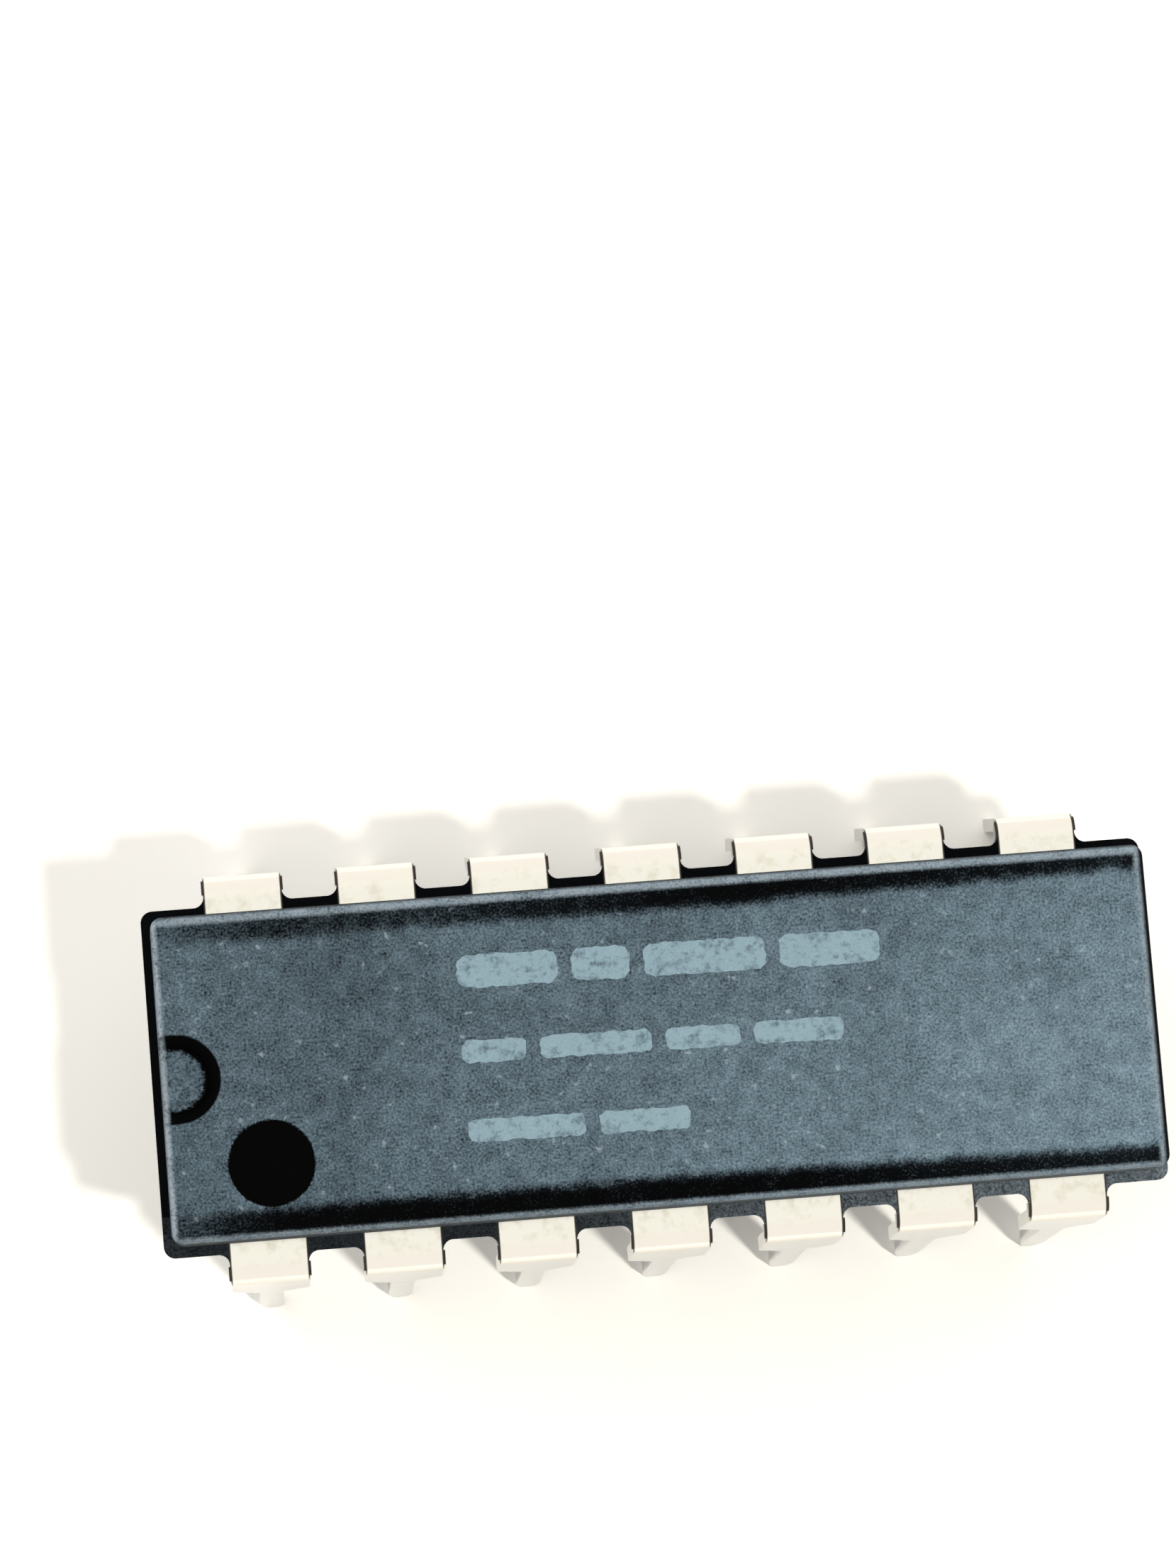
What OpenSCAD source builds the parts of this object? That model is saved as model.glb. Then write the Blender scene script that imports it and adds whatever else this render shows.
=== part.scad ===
// Dual in-line integrated circuit: a moulded epoxy body on a stamped lead frame.
// X runs along the package, with the notch at -X. Pin 1 is at -X, -Y.
// Z = 0 is the plane that the lead tips stand on.

/* [Package] */
// Number of leads in each of the two rows
pins_per_side = 7; // [4:1:9]
// Distance between neighbouring leads
pitch = 2.54; // [2.2:0.01:2.8]
// Body length past the middle of the last lead, at each end
end_margin = 1.96; // [1.7:0.01:2.4]
// Body width over the parting ledge
body_w = 6.57; // [6.2:0.01:7.2]
// Thickness of the upper half, from the lead frame's top to the top face
upper_h = 1.52; // [1.2:0.02:2]
// Thickness of the lower half, from the lead frame's top to the underside
lower_h = 1.78; // [1.4:0.02:2.4]
// Height of the seating plane above the lead tips
seat_h = 3.3; // [2.5:0.05:4]
// Gap between the seating plane and the underside of the body
standoff = 0.5; // [0.3:0.05:1]

/* [Mould] */
// Width of the ledge beside the upper half, on each long side
ledge_side = 0.2; // [0.1:0.01:0.3]
// Width of the ledge past the upper half, at each end
ledge_end = 0.16; // [0.08:0.01:0.3]
// Draft angle of the upper half's walls
upper_draft = 1.5; // [0.5:0.5:8]
// Draft angle of the lower half's walls
lower_draft = 8; // [2:1:12]
// Radius that breaks the edge of the top face
top_edge_r = 0.15; // [0.05:0.01:0.2]
// Radius that breaks the edge of the underside
under_edge_r = 0.12; // [0.05:0.01:0.3]
// Radius of the upper half's upright corners at the top face
upper_corner_r = 0.22; // [0.2:0.01:0.5]
// Radius of the ledge's corners
ledge_corner_r = 0.22; // [0.1:0.01:0.4]
// How far the web of flash between two leads stands out of the ledge
flash_out = 0.05; // [0.03:0.01:0.15]
// Radius of the flash's fillet beside each lead
flash_fillet_r = 0.2; // [0.1:0.01:0.2]

/* [Marks] */
// Radius of the end notch at the top face
notch_r = 0.85; // [0.5:0.05:1.1]
// Radius of the end notch at its floor
notch_floor_r = 0.6; // [0.3:0.05:1]
// Depth of the end notch
notch_depth = 0.45; // [0.2:0.05:0.9]
// Distance from the end of the top face to the middle of the notch
notch_inset = 0.28; // [0.1:0.02:0.6]
// Diameter of the round pin 1 mark
dot_d = 1.62; // [0.8:0.02:2]
// Depth of the pin 1 mark
dot_depth = 0.14; // [0.05:0.01:0.3]
// Distance from the middle of lead 1 to the middle of the pin 1 mark, along the package
dot_shift = 0.18; // [0:0.02:0.6]
// Distance from the pin 1 mark's middle to the package's long axis
dot_off_axis = 1.68; // [1.4:0.02:1.9]
// Diameter of the ejector pin marks on the underside
ejector_d = 1.7; // [1:0.1:2.4]
// Depth of the ejector pin marks
ejector_depth = 0.08; // [0.04:0.01:0.15]

/* [Leads] */
// Thickness of the lead frame
lead_t = 0.25; // [0.2:0.01:0.3]
// Width of a lead from the body to the seating plane
shoulder_w = 1.49; // [1.1:0.01:1.6]
// Width of a lead below the seating plane
pin_w = 0.47; // [0.4:0.01:0.55]
// Width of the flat end of a lead
tip_w = 0.28; // [0.2:0.01:0.38]
// Length of the taper at the end of a lead
tip_taper = 0.55; // [0.3:0.05:1]
// Length of the taper between the shoulder and the pin
shoulder_taper = 0.5; // [0.2:0.05:0.8]
// Radius of the shoulder's lower corners
shoulder_r = 0.2; // [0.05:0.01:0.25]
// Flat length of a lead between the ledge and its bend
flat_out = 0.235; // [0.2:0.005:0.5]
// Outer radius of the bend
bend_r = 0.36; // [0.32:0.01:0.6]
// Angle that each row of leads splays outwards
splay = 5; // [0:0.5:10]
// How far the trimmed dam bar stands out of each side of a lead
dam_stub = 0.03; // [0.01:0.01:0.05]
// Angle of the bend that the trimmed dam bar covers
dam_angle = 50; // [20:5:70]

/* [Inside] */
// Length of the die paddle
paddle_l = 4.2; // [3.6:0.1:5]
// Width of the die paddle
paddle_w = 2.6; // [2.2:0.1:2.8]
// Depth that the paddle and its tie bars are set below the leads
paddle_drop = 0.15; // [0.1:0.01:0.2]
// Width of a tie bar
tie_w = 0.46; // [0.3:0.02:0.5]
// Length of the die
die_l = 2.2; // [1.6:0.1:3]
// Width of the die
die_w = 1.6; // [1.2:0.1:2]
// Thickness of the die
die_t = 0.35; // [0.25:0.01:0.4]
// Thickness of the adhesive under the die
attach_t = 0.03; // [0.02:0.01:0.05]
// Width of the adhesive that shows round the die
attach_rim = 0.08; // [0.04:0.01:0.15]
// Gap between the fingers and the paddle
finger_gap = 0.3; // [0.2:0.05:0.4]
// Width of a finger at its inner end
finger_tip_w = 0.34; // [0.3:0.02:0.38]
// Gap between the tips of neighbouring fingers at the paddle's ends
tip_gap = 0.15; // [0.1:0.01:0.2]
// Width of a finger where it leaves its root
finger_w = 0.6; // [0.4:0.02:0.7]
// Length of a lead's wide root inside the body
root_in = 0.7; // [0.5:0.05:0.8]
// Distance from a finger's end to the wire's stitch on it
bond_in = 0.18; // [0.1:0.02:0.3]
// Distance from the die's edge to a wire's ball
pad_inset = 0.15; // [0.1:0.01:0.3]
// Diameter of a bond wire
wire_d = 0.03; // [0.02:0.005:0.05]
// Height of a bond wire's loop above the die
wire_loop = 0.3; // [0.2:0.05:0.4]

/* [Hidden] */
$fn = 64;
pin_count = 2 * pins_per_side;
pins = [for (p = [1:pin_count]) p];

eps = 0.01;
slice_t = 0.001;
edge_steps = 4;
fillet_kept = 0.9;
body_l = (pins_per_side - 1) * pitch + 2 * end_margin;
under_z = seat_h + standoff;
frame_z = under_z + lower_h;
top_z = frame_z + upper_h;

// Half sizes of the upper half at its foot and at the top face
foot_x = body_l / 2 - ledge_end;
foot_y = body_w / 2 - ledge_side;
upper_slope = upper_h * tan(upper_draft);
top_x = foot_x - upper_slope;
top_y = foot_y - upper_slope;

// The bend of a lead, and the straight leg below it
bend_angle = 90 - splay;
bend_in_r = bend_r - lead_t;
bend_y = body_w / 2 + flat_out;
bend_z = frame_z - bend_r;
leg_top = bend_z + bend_in_r * cos(bend_angle);
leg_l = leg_top / sin(bend_angle);
leg_seat = (leg_top - seat_h) / sin(bend_angle);

// Paddle, die and fingers
paddle_top = frame_z - paddle_drop;
die_z = paddle_top + attach_t;
root_y = body_w / 2 - ledge_side - root_in;
tip_step = finger_tip_w + tip_gap;
tip_start = 0.75 * tip_step;
finger_slant = 0.75;
pad_spread = 0.55;
wire_sides = 6;
wire_rings = 9;
ball_d = 2.4 * wire_d;
stitch_d = 1.6 * wire_d;

function lead_x(k) = (k - (pins_per_side - 1) / 2) * pitch;
function sign_of(v) = v < 0 ? -1 : 1;
function unit(v) = v / norm(v);

// A finger ends beside the paddle's long side, or at its end for the outer leads
function at_side(k) = abs(lead_x(k)) < paddle_l / 2 + pitch / 2;
function from_end(k) = min(k, pins_per_side - 1 - k);
function tip_point(k) = at_side(k)
    ? [lead_x(k) * (paddle_l / 2 - finger_tip_w) / (paddle_l / 2 + pitch / 2), paddle_w / 2 + finger_gap]
    : [sign_of(lead_x(k)) * (paddle_l / 2 + finger_gap), tie_w / 2 + tip_start + tip_step * from_end(k)];
function elbow_point(k) = at_side(k)
    ? [(lead_x(k) * 2 + tip_point(k)[0]) / 3, (root_y * 2 + tip_point(k)[1]) / 3]
    : [lead_x(k) - sign_of(lead_x(k)) * finger_slant * (root_y - tip_point(k)[1]), tip_point(k)[1]];

// Where a lead's wire lands on its finger, and the pad that it leaves on the die
function bond_point(k) = tip_point(k) + bond_in * unit(elbow_point(k) - tip_point(k));
function pad_point(k) = at_side(k)
    ? [tip_point(k)[0] * pad_spread, die_w / 2 - pad_inset]
    : [sign_of(lead_x(k)) * (die_l / 2 - pad_inset), tip_point(k)[1] * pad_spread];

// Rounds the corner at p, between the directions a and b that leave it
module corner_cut(p, a, b, r) {
    half = acos(unit(a) * unit(b)) / 2;
    run = r / tan(half);
    middle = p + unit(unit(a) + unit(b)) * r / sin(half);
    difference() {
        polygon([p, p + unit(a) * run, middle, p + unit(b) * run]);
        translate(middle) circle(r);
    }
}

// Section of the upper half's wall, from the corner's upright axis outwards
module upper_wall() {
    foot_r = upper_corner_r + upper_slope;
    difference() {
        polygon([[0, 0], [foot_r, 0], [upper_corner_r, upper_h], [0, upper_h]]);
        corner_cut([upper_corner_r, upper_h], [-1, 0], [upper_slope, -upper_h], top_edge_r);
    }
}

// Upper half: a drafted block with turned corners and a broken top edge
module upper_half() {
    ax = top_x - upper_corner_r;
    ay = top_y - upper_corner_r;
    translate([0, 0, frame_z]) {
        translate([-ax, -ay, -lead_t]) cube([2 * ax, 2 * ay, lead_t + upper_h]);
        for (side = [0, 180]) rotate(side) {
            translate([-ax, ay, 0]) rotate([90, 0, 90]) linear_extrude(2 * ax) upper_wall();
            translate([ax, ay, 0]) rotate([90, 0, 0]) linear_extrude(2 * ay) upper_wall();
            translate([ax, ay, 0]) rotate_extrude(angle = 90) upper_wall();
            translate([-ax, ay, 0]) rotate(90) rotate_extrude(angle = 90) upper_wall();
        }
    }
}

module rounded_plan(half_x, half_y, r) {
    square([2 * half_x, 2 * (half_y - r)], center = true);
    square([2 * (half_x - r), 2 * half_y], center = true);
    for (sx = [-1, 1], sy = [-1, 1])
        translate([sx * (half_x - r), sy * (half_y - r)]) circle(r, $fn = 32);
}

// Thin slice of the lower half: how far its outline stands in from the ledge, and its height
module lower_slice(inset, z) {
    translate([0, 0, z]) linear_extrude(slice_t)
        rounded_plan(body_l / 2 - inset, body_w / 2 - inset, ledge_corner_r);
}

// Lower half: drafted from the ledge to a rounded edge round the underside
module lower_half() {
    edge_in = (lower_h - under_edge_r) * tan(lower_draft) + under_edge_r / cos(lower_draft);
    hull() {
        lower_slice(0, frame_z - slice_t);
        for (a = [0:edge_steps]) {
            turn = lower_draft + (90 - lower_draft) * a / edge_steps;
            lower_slice(edge_in - under_edge_r * cos(turn), under_z + under_edge_r * (1 - sin(turn)));
        }
    }
}

// Plan of the flash along one long side: a web in each gap and a fillet beside each lead
module flash_plan() {
    out_y = body_w / 2 + flash_out;
    for (k = [0:pins_per_side - 2])
        translate([lead_x(k), body_w / 2 - ledge_side]) square([pitch, ledge_side + flash_out]);
    for (k = [0:pins_per_side - 1], s = [-1, 1]) {
        outer = (k == 0 && s < 0) || (k == pins_per_side - 1 && s > 0);
        base = outer ? body_w / 2 : out_y;
        side = lead_x(k) + s * shoulder_w / 2;
        size = flash_fillet_r * fillet_kept;
        low_x = s > 0 ? side - eps : side - size;
        difference() {
            translate([low_x, base - ledge_side]) square([size + eps, ledge_side + size]);
            translate([side + s * flash_fillet_r, base + flash_fillet_r]) circle(flash_fillet_r);
        }
    }
}

module flash() {
    for (turn = [0, 180]) rotate(turn)
        translate([0, 0, frame_z - lead_t]) linear_extrude(lead_t) flash_plan();
}

// The end notch: a tapered half round that opens through the end wall
module notch_cut() {
    over = 1;
    flare = (notch_r - notch_floor_r) / notch_depth;
    wide = notch_r + flare * over;
    tall = notch_depth + over;
    translate([-top_x + notch_inset, 0, top_z - notch_depth]) {
        cylinder(h = tall, r1 = notch_floor_r, r2 = wide);
        rotate([90, 0, -90]) linear_extrude(notch_inset + over)
            polygon([[-notch_floor_r, 0], [notch_floor_r, 0], [wide, tall], [-wide, tall]]);
    }
}

module dot_cut() {
    translate([lead_x(0) + dot_shift, -dot_off_axis, top_z - dot_depth])
        cylinder(h = dot_depth + eps, d = dot_d);
}

module ejector_cuts() {
    for (s = [-1, 1]) translate([s * body_l / 4, 0, under_z - eps])
        cylinder(h = ejector_depth + eps, d = ejector_d);
}

module body() {
    color("#34383b") difference() {
        union() {
            upper_half();
            lower_half();
            flash();
        }
        notch_cut();
        dot_cut();
        ejector_cuts();
        for (p = pins) lead_solid(p);
        paddle_solid();
        attach_solid();
        die_solid();
        for (p = pins) wire_solid(p);
    }
}

// One straight stretch of a finger, from width wa at a to width wb at b
module strip(a, b, wa, wb) {
    across = unit([a[1] - b[1], b[0] - a[0]]) / 2;
    polygon([a + across * wa, b + across * wb, b - across * wb, a - across * wa]);
}

// Plan of a lead's finger, from inside its wide root to the paddle
module finger_plan(k) {
    root = [lead_x(k), root_y + root_in / 3];
    elbow = elbow_point(k);
    mid_w = (finger_w + finger_tip_w) / 2;
    strip(root, elbow, finger_w, mid_w);
    translate(elbow) circle(d = mid_w);
    strip(elbow, tip_point(k), mid_w, finger_tip_w);
}

// Outline of the straight leg: shoulder, taper, pin and pointed tip
module leg_plan() {
    w = shoulder_w / 2;
    taper_top = leg_seat - shoulder_taper;
    taper = [pin_w / 2 - w, -shoulder_taper];
    difference() {
        polygon([
            [-w, 0], [-w, -taper_top], [-pin_w / 2, -leg_seat],
            [-pin_w / 2, tip_taper - leg_l], [-tip_w / 2, -leg_l],
            [tip_w / 2, -leg_l], [pin_w / 2, tip_taper - leg_l],
            [pin_w / 2, -leg_seat], [w, -taper_top], [w, 0]
        ]);
        for (s = [-1, 1]) corner_cut([s * w, -taper_top], [0, 1], [s * taper[0], taper[1]], shoulder_r);
    }
}

// The bent band of a lead, from straight up to the angle given
module bend_band(width, angle) {
    rotate([0, 0, 180]) rotate([0, -90, 0])
        rotate_extrude(angle = angle) translate([bend_in_r, -width / 2]) square([lead_t, width]);
}

// Lead k of a row on the -Y side
module row_lead(k) {
    translate([0, 0, frame_z - lead_t]) linear_extrude(lead_t) mirror([0, 1]) finger_plan(k);
    translate([lead_x(k), -bend_y, bend_z]) {
        translate([-shoulder_w / 2, 0, bend_in_r]) cube([shoulder_w, bend_y - root_y, lead_t]);
        bend_band(shoulder_w, bend_angle);
        bend_band(shoulder_w + 2 * dam_stub, dam_angle);
        rotate([bend_angle, 0, 0]) translate([0, 0, bend_in_r]) linear_extrude(lead_t) leg_plan();
    }
}

// The second row is the first one turned half round
module lead_solid(p) {
    if (p <= pins_per_side) row_lead(p - 1);
    else rotate(180) row_lead(p - 1 - pins_per_side);
}

module lead(p) {
    color("#d8d5cb") lead_solid(p);
}

// Half length of the lower half's drafted end walls at height z
function end_x(z) = body_l / 2 - (frame_z - z) * tan(lower_draft);

// The paddle and its two tie bars, which are cut off flush with the end walls
module paddle_solid() {
    low = paddle_top - lead_t;
    low_x = end_x(low);
    high_x = end_x(paddle_top);
    translate([0, 0, low]) linear_extrude(lead_t) square([paddle_l, paddle_w], center = true);
    rotate([90, 0, 0]) linear_extrude(tie_w, center = true)
        polygon([[-low_x, low], [low_x, low], [high_x, paddle_top], [-high_x, paddle_top]]);
}

module die_paddle() {
    color("#c3b9a2") paddle_solid();
}

module attach_solid() {
    translate([0, 0, paddle_top + attach_t / 2])
        cube([die_l + 2 * attach_rim, die_w + 2 * attach_rim, attach_t], center = true);
}

module die_attach() {
    color("#b8b8b4") attach_solid();
}

module die_solid() {
    translate([0, 0, die_z + die_t / 2]) cube([die_l, die_w, die_t], center = true);
}

module die() {
    color("#5d6675") die_solid();
}

// Centre of the wire's ring i: it rises from the die, arches over and lands on the finger
function wire_point(k, i) =
    let (
        t = i / (wire_rings - 1),
        along = t * t * (3 - 2 * t),
        from = pad_point(k),
        to = bond_point(k),
        low = die_z + die_t
    )
    [
        from[0] + (to[0] - from[0]) * along,
        -(from[1] + (to[1] - from[1]) * along),
        low + (frame_z - low) * along + wire_loop * 4 * t * (1 - t)
    ];

function wire_run(k, i) =
    i == 0 ? [0, 0, 1] :
    i == wire_rings - 1 ? [0, 0, -1] :
    unit(wire_point(k, i + 1) - wire_point(k, i - 1));

// The ball on the die and the squashed stitch on the finger are wider than the wire
function wire_r(i) = (i == 0 ? ball_d : i == wire_rings - 1 ? stitch_d : wire_d) / 2;

// Corners of ring i, square to the wire's run and kept level across it
function wire_ring(k, i) =
    let (
        run = wire_run(k, i),
        over = bond_point(k) - pad_point(k),
        level = unit([over[1], over[0], 0]),
        up = cross(run, level)
    )
    [for (a = [0:wire_sides - 1]) wire_point(k, i)
        + wire_r(i) * (cos(a * 360 / wire_sides) * level + sin(a * 360 / wire_sides) * up)];

module row_wire(k) {
    n = wire_sides;
    last = (wire_rings - 1) * n;
    polyhedron(
        points = [for (i = [0:wire_rings - 1]) each wire_ring(k, i)],
        faces = concat(
            [[for (a = [0:n - 1]) a]],
            [for (i = [0:wire_rings - 2], a = [0:n - 1])
                [i * n + a, (i + 1) * n + a, (i + 1) * n + (a + 1) % n, i * n + (a + 1) % n]],
            [[for (a = [n - 1:-1:0]) last + a]]
        )
    );
}

module wire_solid(p) {
    if (p <= pins_per_side) row_wire(p - 1);
    else rotate(180) row_wire(p - 1 - pins_per_side);
}

module bond_wire(p) {
    color("#e0b74a") wire_solid(p);
}

body();
for (p = pins) lead(p);
die_paddle();
die_attach();
die();
for (p = pins) bond_wire(p);
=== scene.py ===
import math
import random

import bmesh
import bpy
from mathutils import Matrix, Vector


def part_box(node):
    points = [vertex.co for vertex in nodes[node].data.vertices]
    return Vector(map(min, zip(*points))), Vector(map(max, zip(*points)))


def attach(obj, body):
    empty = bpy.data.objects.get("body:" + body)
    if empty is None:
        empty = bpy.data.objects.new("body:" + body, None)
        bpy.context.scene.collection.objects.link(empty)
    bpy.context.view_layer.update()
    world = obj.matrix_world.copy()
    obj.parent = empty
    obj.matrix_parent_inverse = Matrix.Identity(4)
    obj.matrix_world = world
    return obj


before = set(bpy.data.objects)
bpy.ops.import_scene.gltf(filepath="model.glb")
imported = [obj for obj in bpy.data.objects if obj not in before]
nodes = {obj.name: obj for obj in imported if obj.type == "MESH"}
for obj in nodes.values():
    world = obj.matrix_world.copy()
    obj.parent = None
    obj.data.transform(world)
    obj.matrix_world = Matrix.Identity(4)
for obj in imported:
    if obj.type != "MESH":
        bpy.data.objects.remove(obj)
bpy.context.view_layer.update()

mm = 0.001  # all sizes below are in millimetres, and meshes are made in metres
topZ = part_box("body")[1].z / mm
print("frame loaded, top face at", round(topZ, 3), "mm")


def linear(hexColour):
    parts = [int(hexColour[i:i + 2], 16) / 255 for i in (1, 3, 5)]
    return [*(v / 12.92 if v <= 0.04045 else ((v + 0.055) / 1.055) ** 2.4 for v in parts), 1]


# Adds a node with its settings and links, and gives back its outputs
def addNode(tree, kind, settings=None, links=None):
    node = tree.nodes.new("ShaderNode" + kind)
    for key, value in (settings or {}).items():
        if isinstance(key, str) and hasattr(node, key):
            setattr(node, key, value)
        else:
            node.inputs[key].default_value = value
    for key, source in (links or {}).items():
        tree.links.new(source, node.inputs[key])
    return node.outputs


def newMaterial(name):
    material = bpy.data.materials.new(name)
    material.use_nodes = True
    material.node_tree.nodes.clear()
    return material, material.node_tree


# Object coordinates in millimetres, so that every pattern is given in real sizes
def placeInMm(tree):
    coords = addNode(tree, "TexCoord")["Object"]
    return addNode(tree, "VectorMath", {"operation": "SCALE", "Scale": 1 / mm}, {0: coords})[0]


# Camera: almost straight above, a little to the left and near, turned a little
camera = {
    "place": (-7.665, -4.295, 99.459),
    "turn": (6.011, -3.652, -4.62),
    "lens": 113.64,  # with 36 mm along the frame's long side
    "sensor": 36,
    "nearest": 2, "furthest": 10000,
}
cameraObject = bpy.data.objects.new("camera", bpy.data.cameras.new("camera"))
bpy.context.scene.collection.objects.link(cameraObject)
bpy.context.scene.camera = cameraObject
cameraObject.location = Vector(camera["place"]) * mm
cameraObject.rotation_euler = [math.radians(angle) for angle in camera["turn"]]
cameraObject.data.sensor_width = camera["sensor"]
cameraObject.data.lens = camera["lens"]
cameraObject.data.clip_start = camera["nearest"] * mm
cameraObject.data.clip_end = camera["furthest"] * mm
print("camera placed")

# Studio: white paper, a broad soft light from the left and far sides, one lamp from the near right
studio = {
    "floorSize": 3000,
    "floorColour": "#ebe8e2",
    "floorSeen": (1.5, 1.45, 1.34),  # the paper's colour for the camera, so pale that it is white
    "floorMirrored": 0.8,  # how much of that paleness the paper has in a gloss
    "fromLeft": 1.55, "fromFar": 1.6,  # strength of the soft light at the left and far horizon
    "fromRound": 0.08,  # and of the light from all round
    "backdropColour": "#fffdf8",
    "lampColour": "#fffefa",
    "lampToward": (2.25, -2.0, 7.1),  # the top face's shadow lands 2.25 mm left and 2 mm far
    "lampAway": 700,
    "lampSize": 55,
    "lampLevel": 0.36,  # of the light on a level surface, which is about 1 in all
}


# 1 for what the camera sees directly, in a gloss or through glass, and 0 for light on the object
def seenRays(tree):
    path = addNode(tree, "LightPath")
    seen = addNode(tree, "Math", {"operation": "MAXIMUM"},
                   {0: path["Is Camera Ray"], 1: path["Is Glossy Ray"]})[0]
    return addNode(tree, "Math", {"operation": "MAXIMUM"},
                   {0: seen, 1: path["Is Transmission Ray"]})[0]


# Uncoated white paper: matt, and so pale for the camera that only the shadow shows on it
floorMaterial, tree = newMaterial("whitePaper")
pale = addNode(tree, "LightPath")["Is Camera Ray"]
pale = addNode(tree, "Math", {"operation": "MAXIMUM", 1: studio["floorMirrored"]}, {0: pale})[0]
pale = addNode(tree, "Math", {"operation": "MULTIPLY"}, {0: seenRays(tree), 1: pale})[0]
paper = addNode(tree, "MixRGB", {1: linear(studio["floorColour"]), 2: (*studio["floorSeen"], 1)},
                {0: pale})[0]
addNode(tree, "OutputMaterial", None,
        {"Surface": addNode(tree, "BsdfDiffuse", None, {"Color": paper})[0]})

bm = bmesh.new()
bmesh.ops.create_grid(bm, x_segments=1, y_segments=1, size=studio["floorSize"] / 2 * mm)
mesh = bpy.data.meshes.new("floor")
bm.to_mesh(mesh)
bm.free()
mesh.materials.append(floorMaterial)
piece = bpy.data.objects.new("floor", mesh)
bpy.context.scene.collection.objects.link(piece)

world = bpy.data.worlds.new("studio")
world.use_nodes = True
bpy.context.scene.world = world
tree = world.node_tree
tree.nodes.clear()
direction = addNode(tree, "TexCoord")["Generated"]
rightward, farward = addNode(tree, "SeparateXYZ", None, {0: direction})[:2]
shares = []
for side, strength in ((rightward, -studio["fromLeft"]), (farward, studio["fromFar"])):
    share = addNode(tree, "Math", {"operation": "MULTIPLY", 1: strength}, {0: side})[0]
    shares.append(addNode(tree, "Math", {"operation": "MAXIMUM", 1: 0}, {0: share})[0])
level = addNode(tree, "Math", {"operation": "ADD"}, {0: shares[0], 1: shares[1]})[0]
level = addNode(tree, "Math", {"operation": "ADD", 1: studio["fromRound"]}, {0: level})[0]
ambient = addNode(tree, "Background", None, {"Strength": level})[0]
backdrop = addNode(tree, "Background",
                   {"Color": linear(studio["backdropColour"]), "Strength": 1})[0]
sky = addNode(tree, "MixShader", None, {0: seenRays(tree), 1: ambient, 2: backdrop})[0]
addNode(tree, "OutputWorld", None, {"Surface": sky})

toward = Vector(studio["lampToward"]).normalized()
lamp = bpy.data.lights.new("lamp", "AREA")
lamp.shape = "DISK"
lamp.size = studio["lampSize"] * mm
lamp.color = linear(studio["lampColour"])[:3]
# a small lamp of P watts gives P / (pi * distance^2) on a surface that faces it
lamp.energy = studio["lampLevel"] * math.pi ** 2 * (studio["lampAway"] * mm) ** 2 / toward.z
lampObject = bpy.data.objects.new("lamp", lamp)
bpy.context.scene.collection.objects.link(lampObject)
lampObject.location = toward * studio["lampAway"] * mm
lampObject.rotation_euler = toward.to_track_quat("Z", "Y").to_euler()
lampObject.visible_glossy = False  # the leads mirror the pale backdrop evenly
print("studio set")

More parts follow.
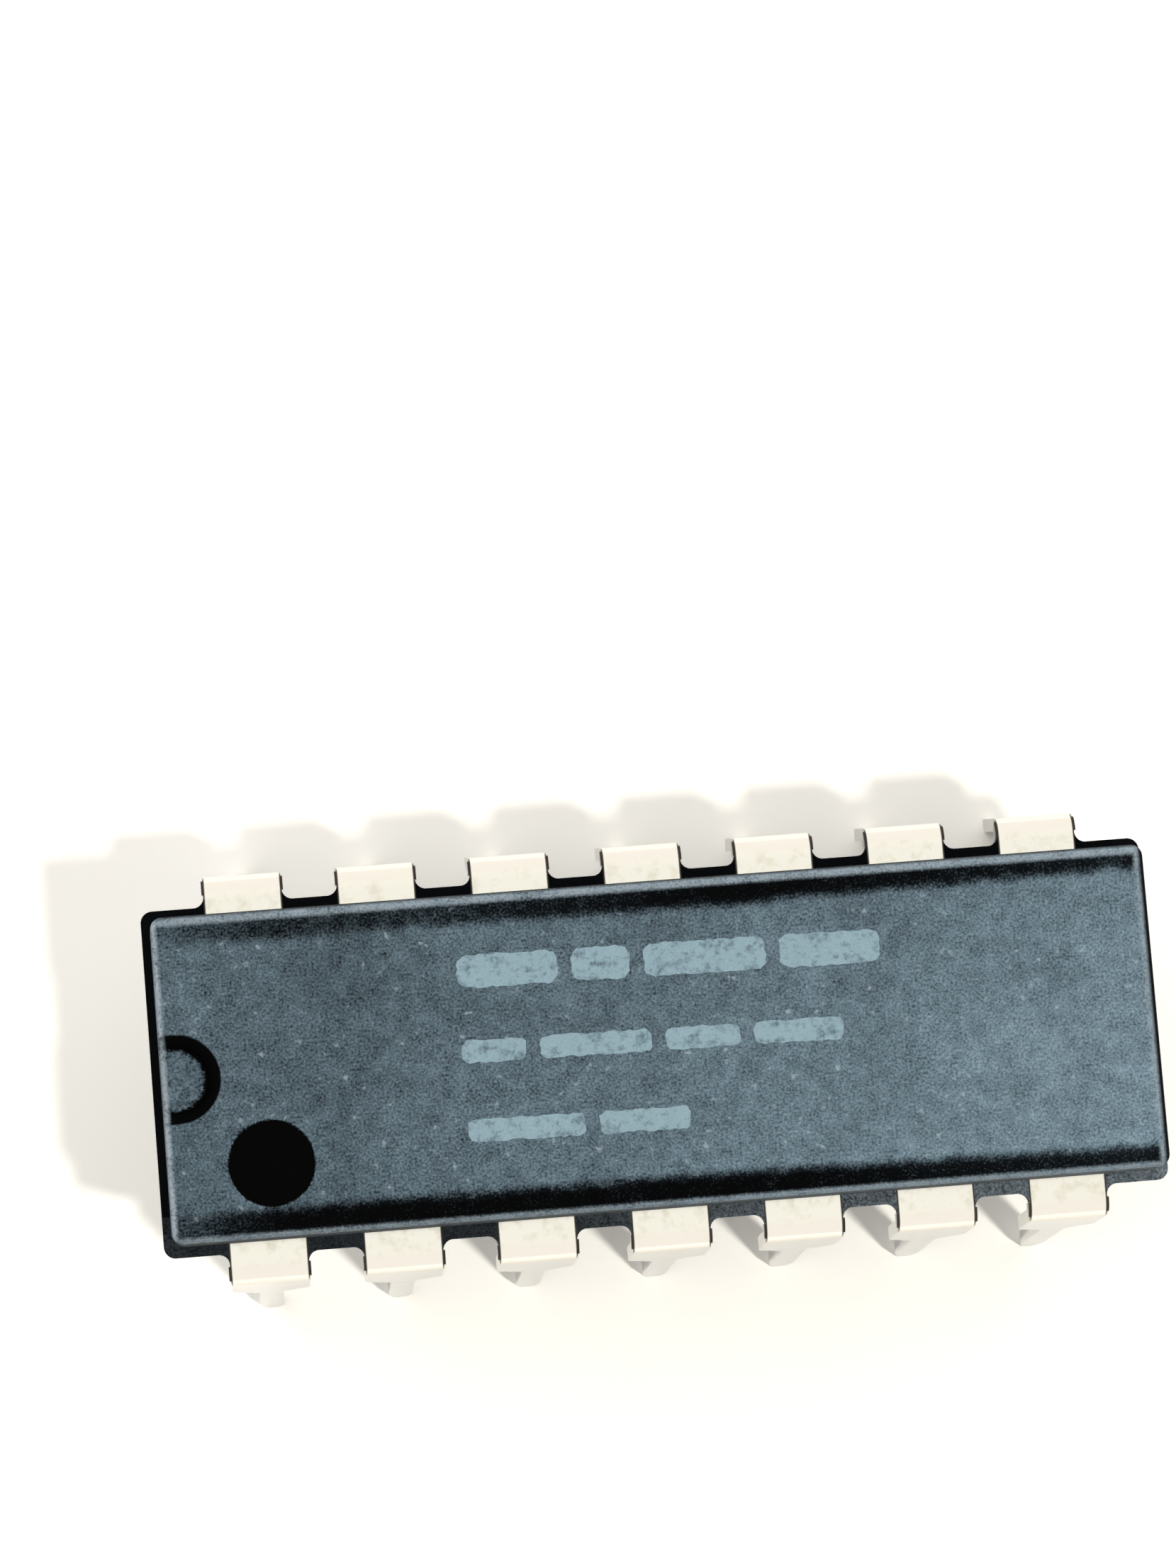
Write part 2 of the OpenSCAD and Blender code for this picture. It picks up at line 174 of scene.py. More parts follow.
# Body: epoxy moulding compound, moulded matt by a spark-eroded cavity, which gives an even
# slate grain with pale specks of filler, with a painted highlight along its top edge and painted
# shade beside it
epoxy = {
    "pitColour": "#12181d", "highColour": "#8399a5",  # pits and high spots of the grain
    "speckColour": "#c3ced4",
    # painted highlight on the edge line
    "edgeColour": "#9ca8b0",
    # near black for the polished pin 1 mark, and for painted shade in the bands and the notch ring
    "polishedColour": "#020202",
    "shadeColour": "#0b0d0f",
    # painted light on the near right of the ledge
    "litLedgeColour": "#96a2aa",
    "roughness": 0.6, "bandRoughness": 0.4, "markRoughness": 0.08,
    "specular": 0.025,
    "grain": 0.047, "clump": 0.3, "clumping": 0.45,  # sizes, and how much the clumps show
    "grainRange": (0.42, 1.03),  # noise that gives its pits and its high spots
    "grainDepth": 0.005,
    "speck": 0.15, "speckRange": (0.7, 0.8), "speckPale": 0.4,
    "smudge": 2.4, "smudgeRange": (0.3, 0.7), "smudgePale": 0.15,
    "ragged": 0.45,  # size of the raggedness of worn borders
    "slantX": (-5, 6), "slantY": -2,  # from x to x, nearness comes to count as rightness
    "paleX": (-6, 10), "paleness": (0.78, 1.28),  # painted light: how pale the grain is at the left and the near right
    "pitLiftX": (-6, 9), "pitLift": 0.15,  # how far painted light lifts the pits at the near right
    "wallPale": 0.45, "wallTint": 0.55,  # painted shade on the walls: shares of the top face's paleness and blue
    "slack": 0.01,  # what a test of height leaves round a face
    "edgeRound": 0.15, "edgeSoft": 0.02,  # and how softly the marks of the top face end on the rounded edge
    "edgeBreakNoise": (0.3, 0.58), "edgeBreakLevels": (-0.15, 0.35), "edgeGrain": 0.95,
    "edgeShiftX": 0.05, "edgeShiftY": 0.045,  # the line is further out at the left and near edges
    "edgeX": (9.19, 9.27, 9.3, 9.37),  # from the middle: line starts, full, fades, ends
    "edgeY": (2.87, 2.94, 3.02, 3.09),
    "edgeLeft": 1.3, "edgeFar": 0.9, "edgeOther": 0.76,  # strength of the painted highlight line
    "crossing": 1,  # how far from the middle one side's strength becomes the other's
    "band": (2.38, 2.67),  # from the middle: where a band starts and is full
    "bandShift": 0.03,  # the far band is wider
    "bandRagged": 0.3,
    "bandTaper": (1, 9), "bandNarrower": 0.1,  # from x to x, both get narrower
    "bandEnds": ((-9.2, -7.4, 0.35), (9, 2, 0.78)),  # from x to x, and strength at the first
    "bandFarX": (-4, 1), "bandFar": (0.52, 0.95),  # from x to x, strength of the far band
    "bandGrainLoss": 0.65,  # how far the painted shade lowers the grain
    "bandGrain": (0.5, 0.85), "bandDark": (0.98, 0.8),  # how dark its pits and high spots are
    "ledgeZ": 5.58, "ledgeThick": 0.26,
    "ledgeShadeHeights": (0.06, 0.01),  # over the ledge: where painted shade starts and is full
    "ledgeFacing": (0.2, 0.6), "ledgeRim": 0.25,  # what faces up, and the rest's share of painted shade
    "ledgeLitX": (-4, 5), "ledgeLitY": -2.5, "ledgeLit": 0.15,
    "markPlace": (-7.44, -1.68, 0), "markRadius": 0.81, "markDepth": 0.14,
    "markRagged": 0.05, "markBorder": (0.045, 0.015),  # outside its radius: starts, full
    "notchPlace": (-9.15, 0, 0), "notchTop": 0.93, "notchDepth": 0.45,
    "notchRagged": 0.08, "notchShade": (0.48, 0.55),  # from its middle: painted shade starts, full
    "notchSunk": (0.01, 0.05),  # the same, under the top face
}


# Height of the spark-eroded grain, 0 to 1: fine pits, which lie in loose clumps
def epoxyGrain(tree, place):
    fine = addNode(tree, "TexNoise", {"Scale": 1 / epoxy["grain"], "Detail": 1.5,
                                      "Roughness": 0.6}, {"Vector": place})["Fac"]
    clumps = addNode(tree, "TexNoise", {"Scale": 1 / epoxy["clump"], "Detail": 3,
                                        "Roughness": 0.6}, {"Vector": place})["Fac"]
    height = addNode(tree, "Math", {"operation": "MULTIPLY_ADD", 1: epoxy["clumping"]},
                     {0: clumps, 2: fine})[0]
    return addNode(tree, "MapRange", {"From Min": epoxy["grainRange"][0],
                                      "From Max": epoxy["grainRange"][1]}, {"Value": height})[0]


# The painted highlight line along one pair of edges: 0 to 1 where it starts, and 0 to 1 where it
# ends, with painted shade beyond
def paintedEdgeLines(tree, coordinate, shift, span):
    moved = addNode(tree, "Math", {"operation": "ADD", 1: shift}, {0: coordinate})[0]
    away = addNode(tree, "Math", {"operation": "ABSOLUTE"}, {0: moved})[0]
    inner = addNode(tree, "MapRange", {"From Min": span[0], "From Max": span[1]},
                    {"Value": away})[0]
    outerShade = addNode(tree, "MapRange", {"From Min": span[2], "From Max": span[3]},
                    {"Value": away})[0]
    return inner, outerShade


# Distance from the upright line through a point
def reachFrom(tree, place, centre):
    offset = addNode(tree, "VectorMath", {"operation": "SUBTRACT", 1: centre}, {0: place})[0]
    flat = addNode(tree, "VectorMath", {"operation": "MULTIPLY", 1: (1, 1, 0)}, {0: offset})[0]
    return addNode(tree, "VectorMath", {"operation": "LENGTH"}, {0: flat})["Value"]


epoxyMaterial, tree = newMaterial("mouldedEpoxy")
place = placeInMm(tree)
x, y, z = addNode(tree, "SeparateXYZ", None, {0: place})
grain = epoxyGrain(tree, place)
smudge = addNode(tree, "TexNoise", {"Scale": 1 / epoxy["smudge"], "Detail": 3},
                 {"Vector": place})["Fac"]
ragged = addNode(tree, "TexNoise", {"Scale": 1 / epoxy["ragged"], "Detail": 5, "Roughness": 0.75},
                 {"Vector": place})["Fac"]

# end notch: grained floor, and round it a ring of painted shade on its wall
reach = reachFrom(tree, place, epoxy["notchPlace"])
inNotch = addNode(tree, "Math", {"operation": "LESS_THAN", 1: epoxy["notchTop"]}, {0: reach})[0]
aboveFloor = addNode(tree, "Math", {
    "operation": "GREATER_THAN", 1: topZ - epoxy["notchDepth"] - epoxy["slack"]}, {0: z})[0]
sunken = addNode(tree, "MapRange", {"From Min": topZ - epoxy["notchSunk"][0],
                                    "From Max": topZ - epoxy["notchSunk"][1]}, {"Value": z})[0]
for share in (aboveFloor, sunken):
    inNotch = addNode(tree, "Math", {"operation": "MULTIPLY"}, {0: inNotch, 1: share})[0]
notchShading = addNode(tree, "Math", {"operation": "MULTIPLY_ADD", 1: -epoxy["notchRagged"]},
                {0: grain, 2: reach})[0]
notchShading = addNode(tree, "MapRange", {"From Min": epoxy["notchShade"][0],
                                   "From Max": epoxy["notchShade"][1]}, {"Value": notchShading})[0]
notchShade = addNode(tree, "Math", {"operation": "MULTIPLY"}, {0: notchShading, 1: inNotch})[0]

# painted highlight along the edges of the top face, broken up in patches, with painted shade
# outside it
edgeLow = topZ - epoxy["edgeRound"]
high = addNode(tree, "MapRange", {"From Min": edgeLow - epoxy["edgeSoft"],
                                  "From Max": edgeLow + epoxy["edgeSoft"]}, {"Value": z})[0]
high = addNode(tree, "Math", {"operation": "MAXIMUM"}, {0: high, 1: inNotch})[0]
innerX, outerX = paintedEdgeLines(tree, x, epoxy["edgeShiftX"], epoxy["edgeX"])
innerY, outerY = paintedEdgeLines(tree, y, epoxy["edgeShiftY"], epoxy["edgeY"])
inner = addNode(tree, "Math", {"operation": "MAXIMUM"}, {0: innerX, 1: innerY})[0]
outerShade = addNode(tree, "Math", {"operation": "MAXIMUM"}, {0: outerX, 1: outerY})[0]
outerShade = addNode(tree, "Math", {"operation": "MULTIPLY"}, {0: outerShade, 1: high})[0]
lineBreakup = addNode(tree, "MapRange", {
    "From Min": epoxy["edgeBreakNoise"][0], "From Max": epoxy["edgeBreakNoise"][1],
    "To Min": epoxy["edgeBreakLevels"][0], "To Max": epoxy["edgeBreakLevels"][1]}, {"Value": ragged})[0]
lineBreakup = addNode(tree, "Math", {"operation": "MULTIPLY_ADD", 1: epoxy["edgeGrain"],
                                "use_clamp": True}, {0: grain, 2: lineBreakup})[0]
weakX, weakY = (
    addNode(tree, "MapRange", {
        "From Min": -epoxy["crossing"], "From Max": epoxy["crossing"],
        "To Min": epoxy[first], "To Max": epoxy[second]}, {"Value": coordinate})[0]
    for coordinate, first, second in ((x, "edgeLeft", "edgeOther"), (y, "edgeOther", "edgeFar")))
lineX = addNode(tree, "Math", {"operation": "MULTIPLY"}, {0: innerX, 1: weakX})[0]
lineY = addNode(tree, "Math", {"operation": "MULTIPLY"}, {0: innerY, 1: weakY})[0]
# painted highlight: the pale line along the edges, strongest at the left
edge = addNode(tree, "Math", {"operation": "MAXIMUM"}, {0: lineX, 1: lineY})[0]
for share in (lineBreakup, high):
    edge = addNode(tree, "Math", {"operation": "MULTIPLY", "use_clamp": True},
                   {0: edge, 1: share})[0]

# painted shade: dark, smoother bands beside both long edges, with a ragged border,
# and weaker towards both ends
bandY = addNode(tree, "Math", {"operation": "ADD", 1: epoxy["bandShift"]}, {0: y})[0]
bandY = addNode(tree, "Math", {"operation": "ABSOLUTE"}, {0: bandY})[0]
bandY = addNode(tree, "Math", {"operation": "MULTIPLY_ADD", 1: epoxy["bandRagged"]},
                {0: ragged, 2: bandY})[0]
taper = addNode(tree, "MapRange", {
    "From Min": epoxy["bandTaper"][0], "From Max": epoxy["bandTaper"][1],
    "To Min": -epoxy["bandRagged"] / 2,
    "To Max": -epoxy["bandRagged"] / 2 - epoxy["bandNarrower"]}, {"Value": x})[0]
bandY = addNode(tree, "Math", {"operation": "ADD"}, {0: bandY, 1: taper})[0]
band = addNode(tree, "MapRange", {"From Min": epoxy["band"][0], "From Max": epoxy["band"][1],
                                  "interpolation_type": "SMOOTHSTEP"}, {"Value": bandY})[0]
ends = [addNode(tree, "MapRange", {"From Min": start, "From Max": end, "To Min": least},
                {"Value": x})[0] for start, end, least in epoxy["bandEnds"]]
farSide = addNode(tree, "MapRange", {
    "From Min": epoxy["bandFarX"][0], "From Max": epoxy["bandFarX"][1],
    "To Min": epoxy["bandFar"][0], "To Max": epoxy["bandFar"][1]}, {"Value": x})[0]
farSide = addNode(tree, "MapRange", {
    "From Min": -epoxy["crossing"], "From Max": epoxy["crossing"],
    "To Min": 1}, {"Value": y, "To Max": farSide})[0]
inside = addNode(tree, "Math", {"operation": "SUBTRACT", 0: 1, "use_clamp": True}, {1: inner})[0]
for share in (*ends, farSide, inside, high):
    band = addNode(tree, "Math", {"operation": "MULTIPLY"}, {0: band, 1: share})[0]
notBand = addNode(tree, "Math", {"operation": "SUBTRACT", 0: 1, "use_clamp": True}, {1: band})[0]

# pin 1 mark: left mirror-smooth by the end of a polished core pin
reach = reachFrom(tree, place, epoxy["markPlace"])
reach = addNode(tree, "Math", {"operation": "MULTIPLY_ADD", 1: epoxy["markRagged"]},
                {0: grain, 2: reach})[0]
mark = addNode(tree, "MapRange", {
    "From Min": epoxy["markRadius"] + epoxy["markBorder"][0],
    "From Max": epoxy["markRadius"] + epoxy["markBorder"][1]}, {"Value": reach})[0]
inMark = addNode(tree, "Math", {"operation": "GREATER_THAN", 1: topZ - epoxy["markDepth"] * 2},
                 {0: z})[0]
mark = addNode(tree, "Math", {"operation": "MULTIPLY"}, {0: mark, 1: inMark})[0]

# colour of the grain, paler towards the near right by painted light; in a band of painted shade
# only its high spots are left
slant = addNode(tree, "MapRange", {
    "From Min": epoxy["slantX"][0], "From Max": epoxy["slantX"][1],
    "To Max": epoxy["slantY"]}, {"Value": x})[0]
slant = addNode(tree, "Math", {"operation": "MULTIPLY_ADD"}, {0: y, 1: slant, 2: x})[0]
pitLift = addNode(tree, "MapRange", {
    "From Min": epoxy["pitLiftX"][0], "From Max": epoxy["pitLiftX"][1],
    "To Max": epoxy["pitLift"]}, {"Value": slant})[0]
for share in (high, notBand):
    pitLift = addNode(tree, "Math", {"operation": "MULTIPLY"}, {0: pitLift, 1: share})[0]
shadedGrain = addNode(tree, "Math", {"operation": "MULTIPLY_ADD", 1: -epoxy["bandGrainLoss"],
                                "use_clamp": True}, {0: band, 2: grain})[0]
shadedGrain = addNode(tree, "MapRange", None, {"Value": shadedGrain, "To Min": pitLift})[0]
grey = addNode(tree, "MixRGB", {1: linear(epoxy["pitColour"]), 2: linear(epoxy["highColour"])},
               {0: shadedGrain})[0]
paintedLightAndTone = addNode(tree, "MapRange", {
    "From Min": epoxy["paleX"][0], "From Max": epoxy["paleX"][1],
    "To Min": epoxy["paleness"][0], "To Max": epoxy["paleness"][1]}, {"Value": slant})[0]
smudged = addNode(tree, "MapRange", {
    "From Min": epoxy["smudgeRange"][0], "From Max": epoxy["smudgeRange"][1],
    "To Min": 1 - epoxy["smudgePale"],
    "To Max": 1 + epoxy["smudgePale"]}, {"Value": smudge})[0]
# painted shade: the walls under the top face darker and greyer, except in the notch
wallShading = addNode(tree, "MapRange", {
    "From Min": edgeLow - epoxy["edgeRound"], "From Max": edgeLow,
    "To Min": epoxy["wallPale"]}, {"Value": z})[0]
wallShading = addNode(tree, "Math", {"operation": "MAXIMUM"}, {0: wallShading, 1: inNotch})[0]
for share in (smudged, wallShading):
    paintedLightAndTone = addNode(tree, "Math", {"operation": "MULTIPLY"}, {0: paintedLightAndTone, 1: share})[0]
grey = addNode(tree, "VectorMath", {"operation": "SCALE"}, {0: grey, "Scale": paintedLightAndTone})[0]
tint = addNode(tree, "MapRange", {"From Min": epoxy["wallPale"], "To Min": epoxy["wallTint"]},
               {"Value": wallShading})[0]
grey = addNode(tree, "HueSaturation", None, {"Color": grey, "Saturation": tint})[0]
specks = addNode(tree, "TexNoise", {"Scale": 1 / epoxy["speck"], "Detail": 1},
                 {"Vector": place})["Fac"]
specks = addNode(tree, "MapRange", {
    "From Min": epoxy["speckRange"][0], "From Max": epoxy["speckRange"][1],
    "To Max": epoxy["speckPale"]}, {"Value": specks})[0]
specks = addNode(tree, "Math", {"operation": "MULTIPLY"}, {0: specks, 1: notBand})[0]
grey = addNode(tree, "MixRGB", {2: linear(epoxy["speckColour"])}, {0: specks, 1: grey})[0]

# painted shade on the parting ledge, most on what faces up, and painted light on it at the near
# right
shadedLedge = addNode(tree, "MapRange", {
    "From Min": epoxy["ledgeZ"] + epoxy["ledgeShadeHeights"][0],
    "From Max": epoxy["ledgeZ"] + epoxy["ledgeShadeHeights"][1]}, {"Value": z})[0]
overWeb = addNode(tree, "Math", {"operation": "GREATER_THAN",
                                 1: epoxy["ledgeZ"] - epoxy["ledgeThick"]}, {0: z})[0]
facing = addNode(tree, "SeparateXYZ", None, {0: addNode(tree, "TexCoord")["Normal"]})["Z"]
facing = addNode(tree, "MapRange", {
    "From Min": epoxy["ledgeFacing"][0], "From Max": epoxy["ledgeFacing"][1],
    "To Min": epoxy["ledgeRim"]}, {"Value": facing})[0]
for share in (overWeb, facing):
    shadedLedge = addNode(tree, "Math", {"operation": "MULTIPLY"}, {0: shadedLedge, 1: share})[0]
ledgeLitShare = addNode(tree, "MapRange", {
    "From Min": epoxy["ledgeLitX"][0], "From Max": epoxy["ledgeLitX"][1],
    "To Min": epoxy["ledgeLit"], "interpolation_type": "SMOOTHSTEP"}, {"Value": x})[0]
near = addNode(tree, "Math", {"operation": "LESS_THAN", 1: epoxy["ledgeLitY"]}, {0: y})[0]
for share in (near, grain):
    ledgeLitShare = addNode(tree, "Math", {"operation": "MULTIPLY"}, {0: ledgeLitShare, 1: share})[0]
ledge = addNode(tree, "MixRGB", {1: linear(epoxy["shadeColour"]), 2: linear(epoxy["litLedgeColour"])},
                {0: ledgeLitShare})[0]
grey = addNode(tree, "MixRGB", None, {0: shadedLedge, 1: grey, 2: ledge})[0]

# painted shade in the bands, near black like the polished pin 1 mark
dark = addNode(tree, "MapRange", {
    "From Min": epoxy["bandGrain"][0], "From Max": epoxy["bandGrain"][1],
    "To Min": epoxy["bandDark"][0], "To Max": epoxy["bandDark"][1]}, {"Value": grain})[0]
dark = addNode(tree, "Math", {"operation": "MULTIPLY"}, {0: dark, 1: band})[0]
dark = addNode(tree, "Math", {"operation": "MAXIMUM"}, {0: dark, 1: mark})[0]
# painted shade in the notch ring and the bands, painted highlight on the edge line, painted shade
# outside it
for colour, share in (("polishedColour", notchShade), ("edgeColour", edge),
                      ("shadeColour", outerShade), ("polishedColour", dark)):
    grey = addNode(tree, "MixRGB", {2: linear(epoxy[colour])}, {0: share, 1: grey})[0]

rough = addNode(tree, "MapRange", {"To Min": epoxy["roughness"], "To Max": epoxy["bandRoughness"]},
                {"Value": band})[0]
rough = addNode(tree, "MapRange", {"To Max": epoxy["markRoughness"]},
                {"Value": mark, "To Min": rough})[0]
smooth = addNode(tree, "Math", {"operation": "MAXIMUM"}, {0: band, 1: mark})[0]
bumpy = addNode(tree, "Math", {"operation": "SUBTRACT", 0: 1, "use_clamp": True}, {1: smooth})[0]
bump = addNode(tree, "Bump", {"Distance": epoxy["grainDepth"] * mm},
               {"Strength": bumpy, "Height": grain})[0]
shader = addNode(tree, "BsdfPrincipled", {"IOR": 1.5, "Specular IOR Level": epoxy["specular"]},
                 {"Base Color": grey, "Roughness": rough, "Normal": bump})[0]
addNode(tree, "OutputMaterial", None, {"Surface": shader})

# Leads: copper alloy, stamped and then dipped in tin, which gives a satin white metal with faint
# lines along each lead; painted shade makes them darker at and below the bend and along their side
# edges
tinned = {
    "colour": "#fbf9ee",
    "dullColour": "#e9e4d2",
    # painted shade at the bend, below it, on the legs and along the side edges
    "bendColour": "#faf4ea",
    "lowColour": "#ddd9d0",
    "legColour": "#cbcbc9",
    "lineColour": "#a8a49d",
    "cornerColour": "#3b3632",
    "metallic": 0.9,
    "roughness": (0.12, 0.2),  # where it is clean, and in a dull blotch
    "pitch": 2.54, "halfWidth": 0.745, "corner": 0.02,
    "bend": (3.45, 3.62),  # from the part's middle plane: where its colour starts and is full
    "low": (5.45, 5.2), "legs": (5, 3.4),  # the same in heights
    "lines": 0.06, "lineLength": 1.6, "lineDepth": 0.0003,
    "lineRange": (0.5, 0.75), "lineDark": 0.3, "lineBump": 0.6,
    "blotch": 0.35, "blotchRange": (0.5, 0.75),
}
tinMaterial, tree = newMaterial("tinDippedCopperAlloy")
place = placeInMm(tree)
x, y, z = addNode(tree, "SeparateXYZ", None, {0: place})
alongLead = (1 / tinned["lines"], 1 / tinned["lineLength"], 1 / tinned["lineLength"])
stretched = addNode(tree, "Mapping", {"Scale": alongLead}, {"Vector": place})[0]
lines = addNode(tree, "TexNoise", {"Scale": 1, "Detail": 3, "Roughness": 0.6},
                {"Vector": stretched})["Fac"]
blotch = addNode(tree, "TexNoise", {"Scale": 1 / tinned["blotch"], "Detail": 4, "Roughness": 0.6},
                 {"Vector": place})["Fac"]
blotch = addNode(tree, "MapRange", {
    "From Min": tinned["blotchRange"][0], "From Max": tinned["blotchRange"][1]},
    {"Value": blotch})[0]
away = addNode(tree, "Math", {"operation": "ABSOLUTE"}, {0: y})[0]
bent, low, legs = (
    addNode(tree, "MapRange", {"From Min": tinned[part][0], "From Max": tinned[part][1]},
            {"Value": coordinate})[0]
    for part, coordinate in (("bend", away), ("low", z), ("legs", z)))
drawn = addNode(tree, "MapRange", {
    "From Min": tinned["lineRange"][0], "From Max": tinned["lineRange"][1],
    "To Max": tinned["lineDark"]}, {"Value": lines})[0]
drawn = addNode(tree, "Math", {"operation": "MULTIPLY"}, {0: drawn, 1: low})[0]
middle = addNode(tree, "Math", {"operation": "WRAP", 1: tinned["pitch"] / 2,
                                2: -tinned["pitch"] / 2}, {0: x})[0]
middle = addNode(tree, "Math", {"operation": "ABSOLUTE"}, {0: middle})[0]
corner = addNode(tree, "MapRange", {"From Min": tinned["halfWidth"] - tinned["corner"] * 2,
                                    "From Max": tinned["halfWidth"] - tinned["corner"]},
                 {"Value": middle})[0]
upper = addNode(tree, "Math", {"operation": "SUBTRACT", 0: 1, "use_clamp": True}, {1: low})[0]
corner = addNode(tree, "Math", {"operation": "MULTIPLY"}, {0: corner, 1: upper})[0]
tin = addNode(tree, "MixRGB", {1: linear(tinned["colour"]), 2: linear(tinned["dullColour"])},
              {0: blotch})[0]
# painted shade at the bend, below it and on the legs, the drawn lines, and painted shade along the
# side edges
for colour, share in (("bendColour", bent), ("lowColour", low), ("legColour", legs),
                      ("lineColour", drawn), ("cornerColour", corner)):
    tin = addNode(tree, "MixRGB", {2: linear(tinned[colour])}, {0: share, 1: tin})[0]
rough = addNode(tree, "MapRange", {"To Min": tinned["roughness"][0],
                                   "To Max": tinned["roughness"][1]}, {"Value": blotch})[0]
bump = addNode(tree, "Bump", {"Distance": tinned["lineDepth"] * mm,
                              "Strength": tinned["lineBump"]}, {"Height": lines})[0]
shader = addNode(tree, "BsdfPrincipled", {"Metallic": tinned["metallic"]},
                 {"Base Color": tin, "Roughness": rough, "Normal": bump})[0]
addNode(tree, "OutputMaterial", None, {"Surface": shader})

# Sealed inside the body: each gets the fine texture that its own making leaves
insides = {
    # colour, second colour, pattern size in mm, metallic, roughness
    "bareFrameAlloy": ("#c2b59a", "#a99877", 0.05, 1, 0.35),  # rolled, warm and satin
    "silverFilledEpoxy": ("#b9b9b6", "#8f908e", 0.03, 0.8, 0.5),  # flakes in glue
    "polishedSilicon": ("#565f70", "#3d4454", 0.2, 0.6, 0.2),  # blue-grey and near mirror
    "drawnGold": ("#e3b84c", "#c99a34", 0.02, 1, 0.25),  # bright, with faint draw marks
}
insideBump = {"depth": 0.001, "strength": 0.5}
insideMaterials = {}
for name, (first, second, size, metallic, roughness) in insides.items():
    insideMaterials[name], tree = newMaterial(name)
    pattern = addNode(tree, "TexNoise", {"Scale": 1 / size, "Detail": 3},
                      {"Vector": placeInMm(tree)})["Fac"]
    tone = addNode(tree, "MixRGB", {1: linear(first), 2: linear(second)}, {0: pattern})[0]
    bump = addNode(tree, "Bump", {"Distance": insideBump["depth"] * mm,
                                  "Strength": insideBump["strength"]}, {"Height": pattern})[0]
    shader = addNode(tree, "BsdfPrincipled", {"Metallic": metallic, "Roughness": roughness},
                     {"Base Color": tone, "Normal": bump})[0]
    addNode(tree, "OutputMaterial", None, {"Surface": shader})

finishOf = {
    "body": epoxyMaterial,
    "lead": tinMaterial,
    "die_paddle": insideMaterials["bareFrameAlloy"],
    "die_attach": insideMaterials["silverFilledEpoxy"],
    "die": insideMaterials["polishedSilicon"],
    "bond_wire": insideMaterials["drawnGold"],
}
for name, piece in nodes.items():
    for pieceSlot in piece.material_slots:
        pieceSlot.material = finishOf[name.rstrip("0123456789_")]
print("finishes given to", len(nodes), "CAD pieces")

# Ink: three rows of plain bars on the top face, worn thin by handling
ink = {
    "thickness": 0.01, "sunk": 0.004,
    "gap": 0.26,
    "tilt": -0.7,  # degrees that the print is off the body's long axis
    "ragged": 0.02,
    "step": 0.1,  # length of the pieces that the outline is broken into
    "corner": 0.3, "cornerSteps": 4,  # corner radius as a share of a bar's height
    "colour": "#9db7c1",
    "wornColour": "#5d6f7a",
    "patch": 0.2, "patchRange": (0.5, 0.75),  # size of the worn patches, and their noise
    "highWorn": 0.3,  # and how worn the ink is on high spots of the grain
    "bump": 0.6, "roughness": 0.6, "specular": 0.2,
    "seed": 5,
    "left": -3.75,
    "rows": (
        {"middle": 1.6, "height": 0.62, "bars": (1.9, 1.1, 2.3, 1.9)},
        {"middle": 0.1, "height": 0.42, "bars": (1.2, 2.1, 1.4, 1.7)},
        {"middle": -1.38, "height": 0.42, "bars": (2.2, 1.7)},
    ),
}
inkMaterial, tree = newMaterial("wornInk")
place = placeInMm(tree)
grain = epoxyGrain(tree, place)
worn = addNode(tree, "TexNoise", {"Scale": 1 / ink["patch"], "Detail": 4, "Roughness": 0.7},
               {"Vector": place})["Fac"]
worn = addNode(tree, "MapRange", {"From Min": ink["patchRange"][0],
                                  "From Max": ink["patchRange"][1]}, {"Value": worn})[0]
worn = addNode(tree, "Math", {"operation": "MULTIPLY_ADD", 1: ink["highWorn"],
                              "use_clamp": True}, {0: grain, 2: worn})[0]
tone = addNode(tree, "MixRGB", {1: linear(ink["colour"]), 2: linear(ink["wornColour"])},
               {0: worn})[0]
bump = addNode(tree, "Bump", {"Distance": epoxy["grainDepth"] * mm, "Strength": ink["bump"]},
               {"Height": grain})[0]
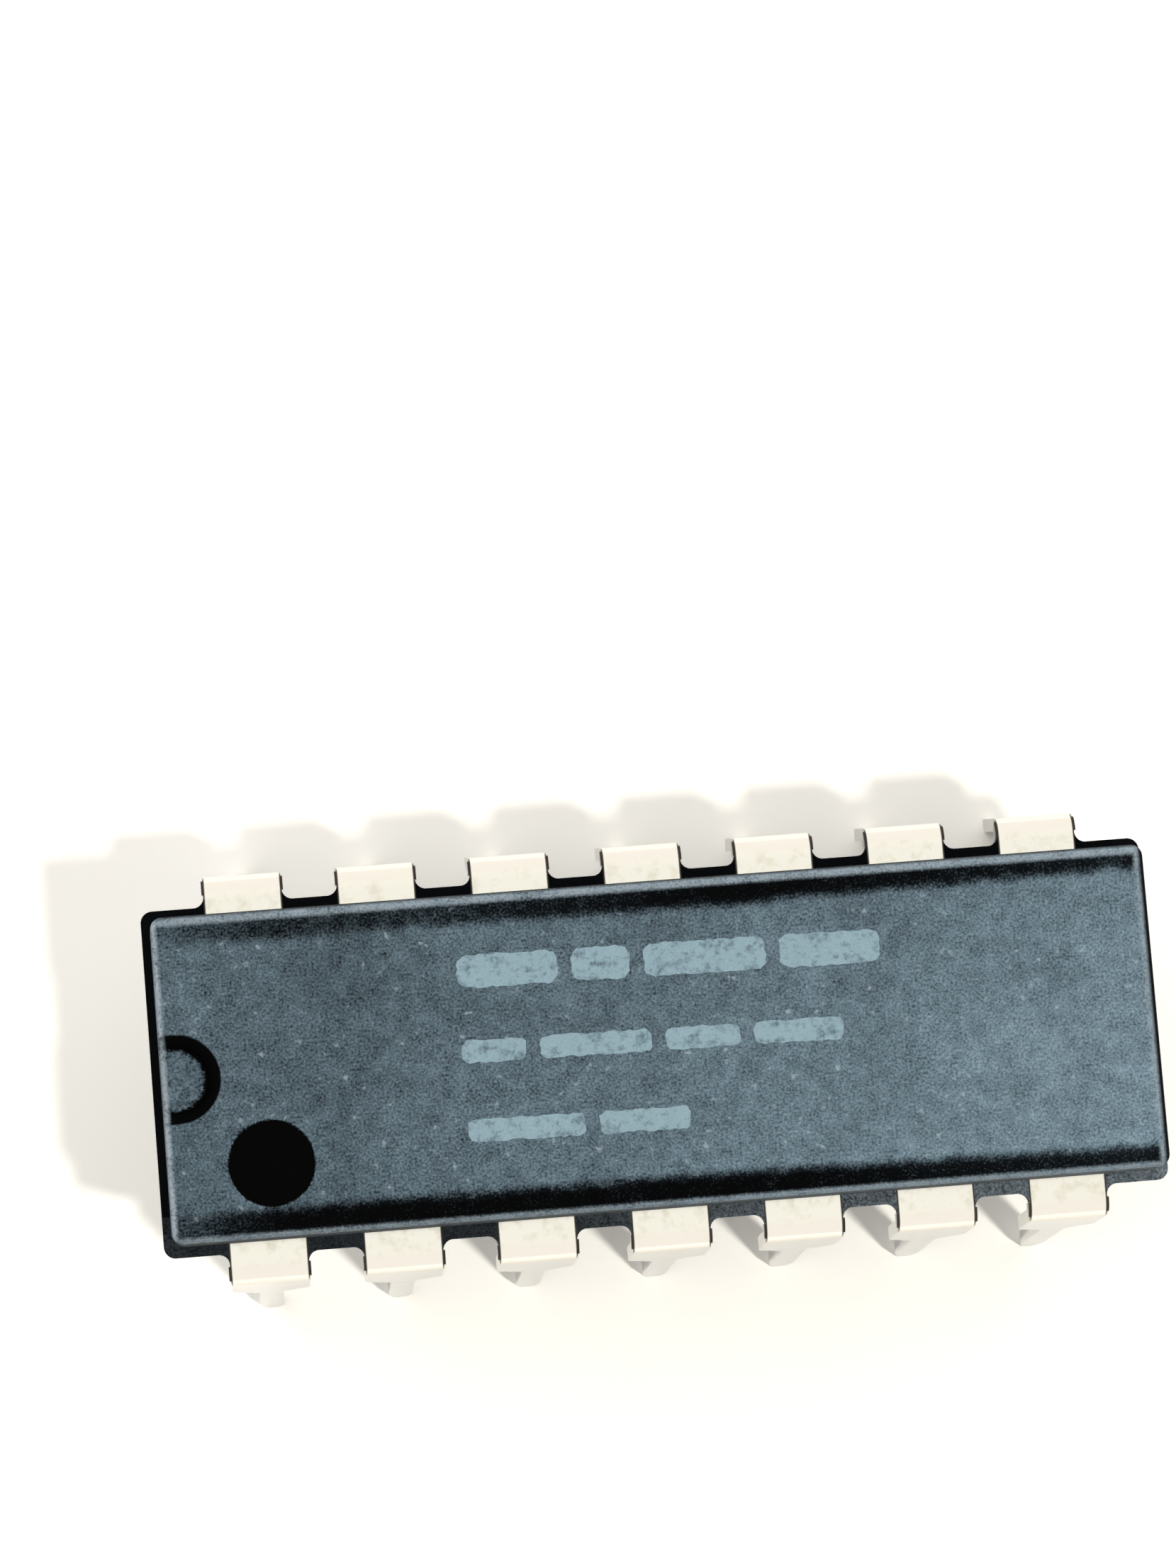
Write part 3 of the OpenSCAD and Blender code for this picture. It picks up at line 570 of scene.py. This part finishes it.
shader = addNode(tree, "BsdfPrincipled", {"Roughness": ink["roughness"],
                                          "Specular IOR Level": ink["specular"]},
                 {"Base Color": tone, "Normal": bump})[0]
addNode(tree, "OutputMaterial", None, {"Surface": shader})

chance = random.Random(ink["seed"])
for number, row in enumerate(ink["rows"], 1):
    bm = bmesh.new()
    left = ink["left"]
    for length in row["bars"]:
        bar = bmesh.ops.create_grid(bm, x_segments=1, y_segments=1, size=0.5)["verts"]
        bmesh.ops.scale(bm, vec=(length, row["height"], 1), verts=bar)
        bmesh.ops.translate(bm, vec=(left + length / 2, row["middle"], 0), verts=bar)
        left += length + ink["gap"]
    bmesh.ops.bevel(bm, geom=bm.verts[:], offset=row["height"] * ink["corner"],
                    segments=ink["cornerSteps"], profile=0.5, affect="VERTICES", material=-1)
    for edge in [edge for edge in bm.edges if edge.calc_length() > 2 * ink["step"]]:
        bmesh.ops.subdivide_edges(bm, edges=[edge], cuts=int(edge.calc_length() / ink["step"]))
    for vert in bm.verts:
        vert.co += Vector((chance.uniform(-1, 1), chance.uniform(-1, 1), 0)) * ink["ragged"]
    bmesh.ops.rotate(bm, cent=(ink["left"], row["middle"], 0), verts=bm.verts,
                     matrix=Matrix.Rotation(math.radians(ink["tilt"]), 3, "Z"))
    bmesh.ops.translate(bm, vec=(0, 0, topZ - ink["sunk"]), verts=bm.verts)
    upper = bmesh.ops.extrude_face_region(bm, geom=bm.faces[:])["geom"]
    bmesh.ops.translate(bm, vec=(0, 0, ink["thickness"]),
                        verts=[part for part in upper if isinstance(part, bmesh.types.BMVert)])
    bmesh.ops.recalc_face_normals(bm, faces=bm.faces)
    bmesh.ops.scale(bm, vec=(mm, mm, mm), verts=bm.verts)
    mesh = bpy.data.meshes.new(f"inkRow{number}")
    bm.to_mesh(mesh)
    bm.free()
    mesh.materials.append(inkMaterial)
    piece = bpy.data.objects.new(f"inkRow{number}", mesh)
    bpy.context.scene.collection.objects.link(piece)
    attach(piece, "root")
print("ink printed in", len(ink["rows"]), "rows")

bpy.context.scene.view_settings.view_transform = "Standard"
